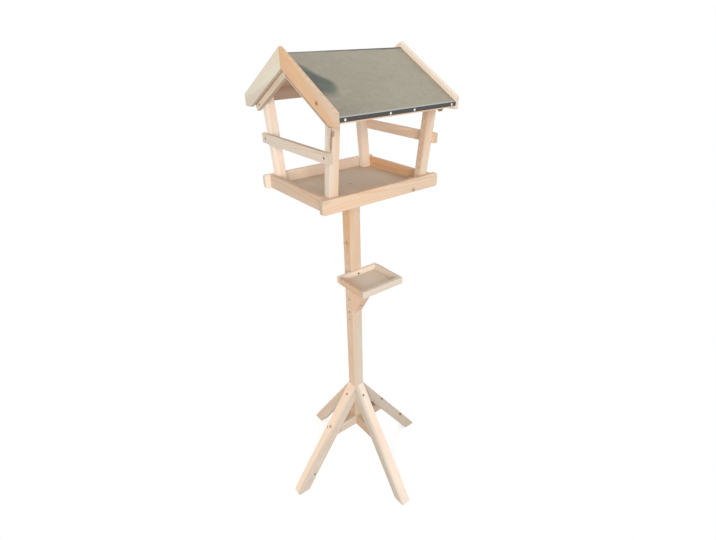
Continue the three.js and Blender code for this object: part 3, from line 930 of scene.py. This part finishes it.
class BIRDTABLE_OT_nails(bpy.types.Operator):
    """Make the nails along both eaves of the roof sheet"""

    bl_idname = "birdtable.nails"
    bl_label = "Roof nails"

    def execute(self, context):
        settings = context.scene.bird_table_metal
        low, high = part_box("roof_sheet")
        material = plated("nail_plating", settings.nail, roughness=0.25, tarnish=0.25)
        mesh = bmesh.new()
        for facing in (-1, 1):
            turn = facing_frame(Vector((0, facing, 0)))
            for share_out in NAIL_SHARES:
                x = (high.x - NAIL_INSET) * share_out
                place = Matrix.Translation((x, facing * high.y, low.z + NAIL_HEIGHT)) @ turn
                dome_nail(mesh, place, settings.nail_radius, settings.nail_rise, settings.sides)
        new_piece("roof_nails", mesh, material)
        return {"FINISHED"}


def softbox(name, place, aim, size, watts):
    """A large soft lamp that the camera doesn't see."""
    data = bpy.data.lights.new(name, "AREA")
    data.shape = "DISK"
    data.size = size
    data.energy = watts
    lamp = bpy.data.objects.new(name, data)
    lamp.location = place
    lamp.rotation_mode = "QUATERNION"
    lamp.rotation_quaternion = (Vector(aim) - Vector(place)).to_track_quat("-Z", "Y")
    lamp.visible_camera = False
    lamp.visible_glossy = False
    bpy.context.scene.collection.objects.link(lamp)


def lay_floor(settings):
    """A pale floor that the camera sees as white, apart from the object's shadow."""
    mesh = bmesh.new()
    mesh.faces.new(circle(mesh, settings.floor_radius, -FLOOR_GAP, count=96))
    data = bpy.data.meshes.new("studio_floor")
    mesh.to_mesh(data)
    mesh.free()

    finish = Finish(bpy.data.materials.new("studio_floor"))
    lighting = finish.shader("ShaderNodeBsdfDiffuse", settings.floor)
    shadowed = finish.shader("ShaderNodeBsdfDiffuse", settings.near_floor)
    glow = finish.shader("ShaderNodeEmission", (1, 1, 1), settings.glow)
    near = finish.node("ShaderNodeAddShader", {}, {0: shadowed, 1: glow})
    white = finish.shader("ShaderNodeEmission", (1, 1, 1), 1.0)
    at = finish.place()
    reach = (at * at).along((1, 1, 0)).root()
    away = reach.step(settings.shadow_reach * SHADOW_WHOLE, settings.shadow_reach)
    surface = finish.mixed(finish.seen(), lighting, finish.mixed(away, near, white))
    finish.node("ShaderNodeOutputMaterial", {}, {"Surface": surface})
    data.materials.append(finish.owner)
    floor = bpy.data.objects.new("studio_floor", data)
    bpy.context.scene.collection.objects.link(floor)


def light_world(settings):
    """Soft light from all round, which the camera and shiny surfaces see as white."""
    finish = Finish(bpy.data.worlds.new("studio"))
    sky = finish.shader("ShaderNodeBackground", (1, 1, 1), settings.sky)
    white = finish.shader("ShaderNodeBackground", (1, 1, 1), 1.0)
    surface = finish.mixed(finish.seen(), sky, white)
    finish.node("ShaderNodeOutputWorld", {}, {"Surface": surface})
    bpy.context.scene.world = finish.owner


def aim_camera():
    """The photograph's view, from eye height and close by, with a wide lens."""
    azimuth, elevation, roll = (math.radians(turn) for turn in (37.79, 33.35, -0.78))
    aim, distance = Vector((0.04825, 0, 0.700)), 1.60342
    level = math.cos(elevation)
    toward = Vector((-math.sin(azimuth) * level, -math.cos(azimuth) * level, math.sin(elevation)))
    right = (-toward).cross(Vector(Z)).normalized()
    up = right.cross(-toward)

    # The photograph's size, where the lens points in it, and its focal length, all in pixels
    wide, high = 716, 540
    middle_x, middle_y = 365.00, 317.84
    focal = 442.03
    sensor = 36
    data = bpy.data.cameras.new("camera")
    data.sensor_fit = "HORIZONTAL"
    data.sensor_width = sensor
    data.lens = sensor * focal / wide
    data.shift_x = (wide / 2 - middle_x) / wide
    data.shift_y = (middle_y - high / 2) / wide
    data.clip_start = 0.05
    data.clip_end = 60
    camera = bpy.data.objects.new("camera", data)
    place = Matrix.Translation(aim + toward * distance)
    turn = Matrix((right, up, toward)).transposed().to_4x4()
    camera.matrix_world = place @ turn @ Matrix.Rotation(roll, 4, "Z")
    bpy.context.scene.collection.objects.link(camera)
    bpy.context.scene.camera = camera


class BIRDTABLE_OT_stage(bpy.types.Operator):
    """Set the camera, the floor and the soft studio light"""

    bl_idname = "birdtable.stage"
    bl_label = "Stage"

    def execute(self, context):
        settings = context.scene.bird_table_stage
        aim_camera()
        lay_floor(settings)
        light_world(settings)
        for name, place, aim, size, watts in (
            ("key_softbox", (-2.43, -3.44, 2.03), (0, 0, 0.75), 2.4, settings.key),
            ("fill_softbox", (1.86, 1.86, 2.54), (0, 0, 0.9), 1.9, settings.fill),
        ):
            softbox(name, place, aim, size, watts)
        context.scene.view_settings.view_transform = "Standard"
        return {"FINISHED"}


class BIRDTABLE_PT_panel(bpy.types.Panel):
    """The bird table's pieces and their settings"""

    bl_label = "Bird table"
    bl_idname = "BIRDTABLE_PT_panel"
    bl_space_type = "VIEW_3D"
    bl_region_type = "UI"
    bl_category = "Bird table"

    def draw(self, context):
        for operator in OPERATORS:
            self.layout.operator(operator.bl_idname)
        for group in SETTINGS:
            box = self.layout.box()
            settings = getattr(context.scene, group)
            for key in settings.__annotations__:
                box.prop(settings, key)


SETTINGS = {
    "bird_table_pine": PineSettings,
    "bird_table_metal": MetalSettings,
    "bird_table_stage": StageSettings,
}
OPERATORS = (
    BIRDTABLE_OT_stage,
    BIRDTABLE_OT_stand,
    BIRDTABLE_OT_trays,
    BIRDTABLE_OT_house,
    BIRDTABLE_OT_roof_boards,
    BIRDTABLE_OT_roof_sheet,
    BIRDTABLE_OT_screws,
    BIRDTABLE_OT_nails,
)
CLASSES = (*SETTINGS.values(), *OPERATORS, BIRDTABLE_PT_panel)


def register():
    for cls in CLASSES:
        bpy.utils.register_class(cls)
    for name, group in SETTINGS.items():
        setattr(bpy.types.Scene, name, PointerProperty(type=group))


def unregister():
    for name in SETTINGS:
        delattr(bpy.types.Scene, name)
    for cls in reversed(CLASSES):
        bpy.utils.unregister_class(cls)


def main():
    register()
    bpy.ops.birdtable.stage()
    bpy.ops.birdtable.stand()
    bpy.ops.birdtable.trays()
    bpy.ops.birdtable.house()
    bpy.ops.birdtable.roof_boards()
    bpy.ops.birdtable.roof_sheet()
    bpy.ops.birdtable.screws()
    bpy.ops.birdtable.nails()


if __name__ == "__main__":
    main()
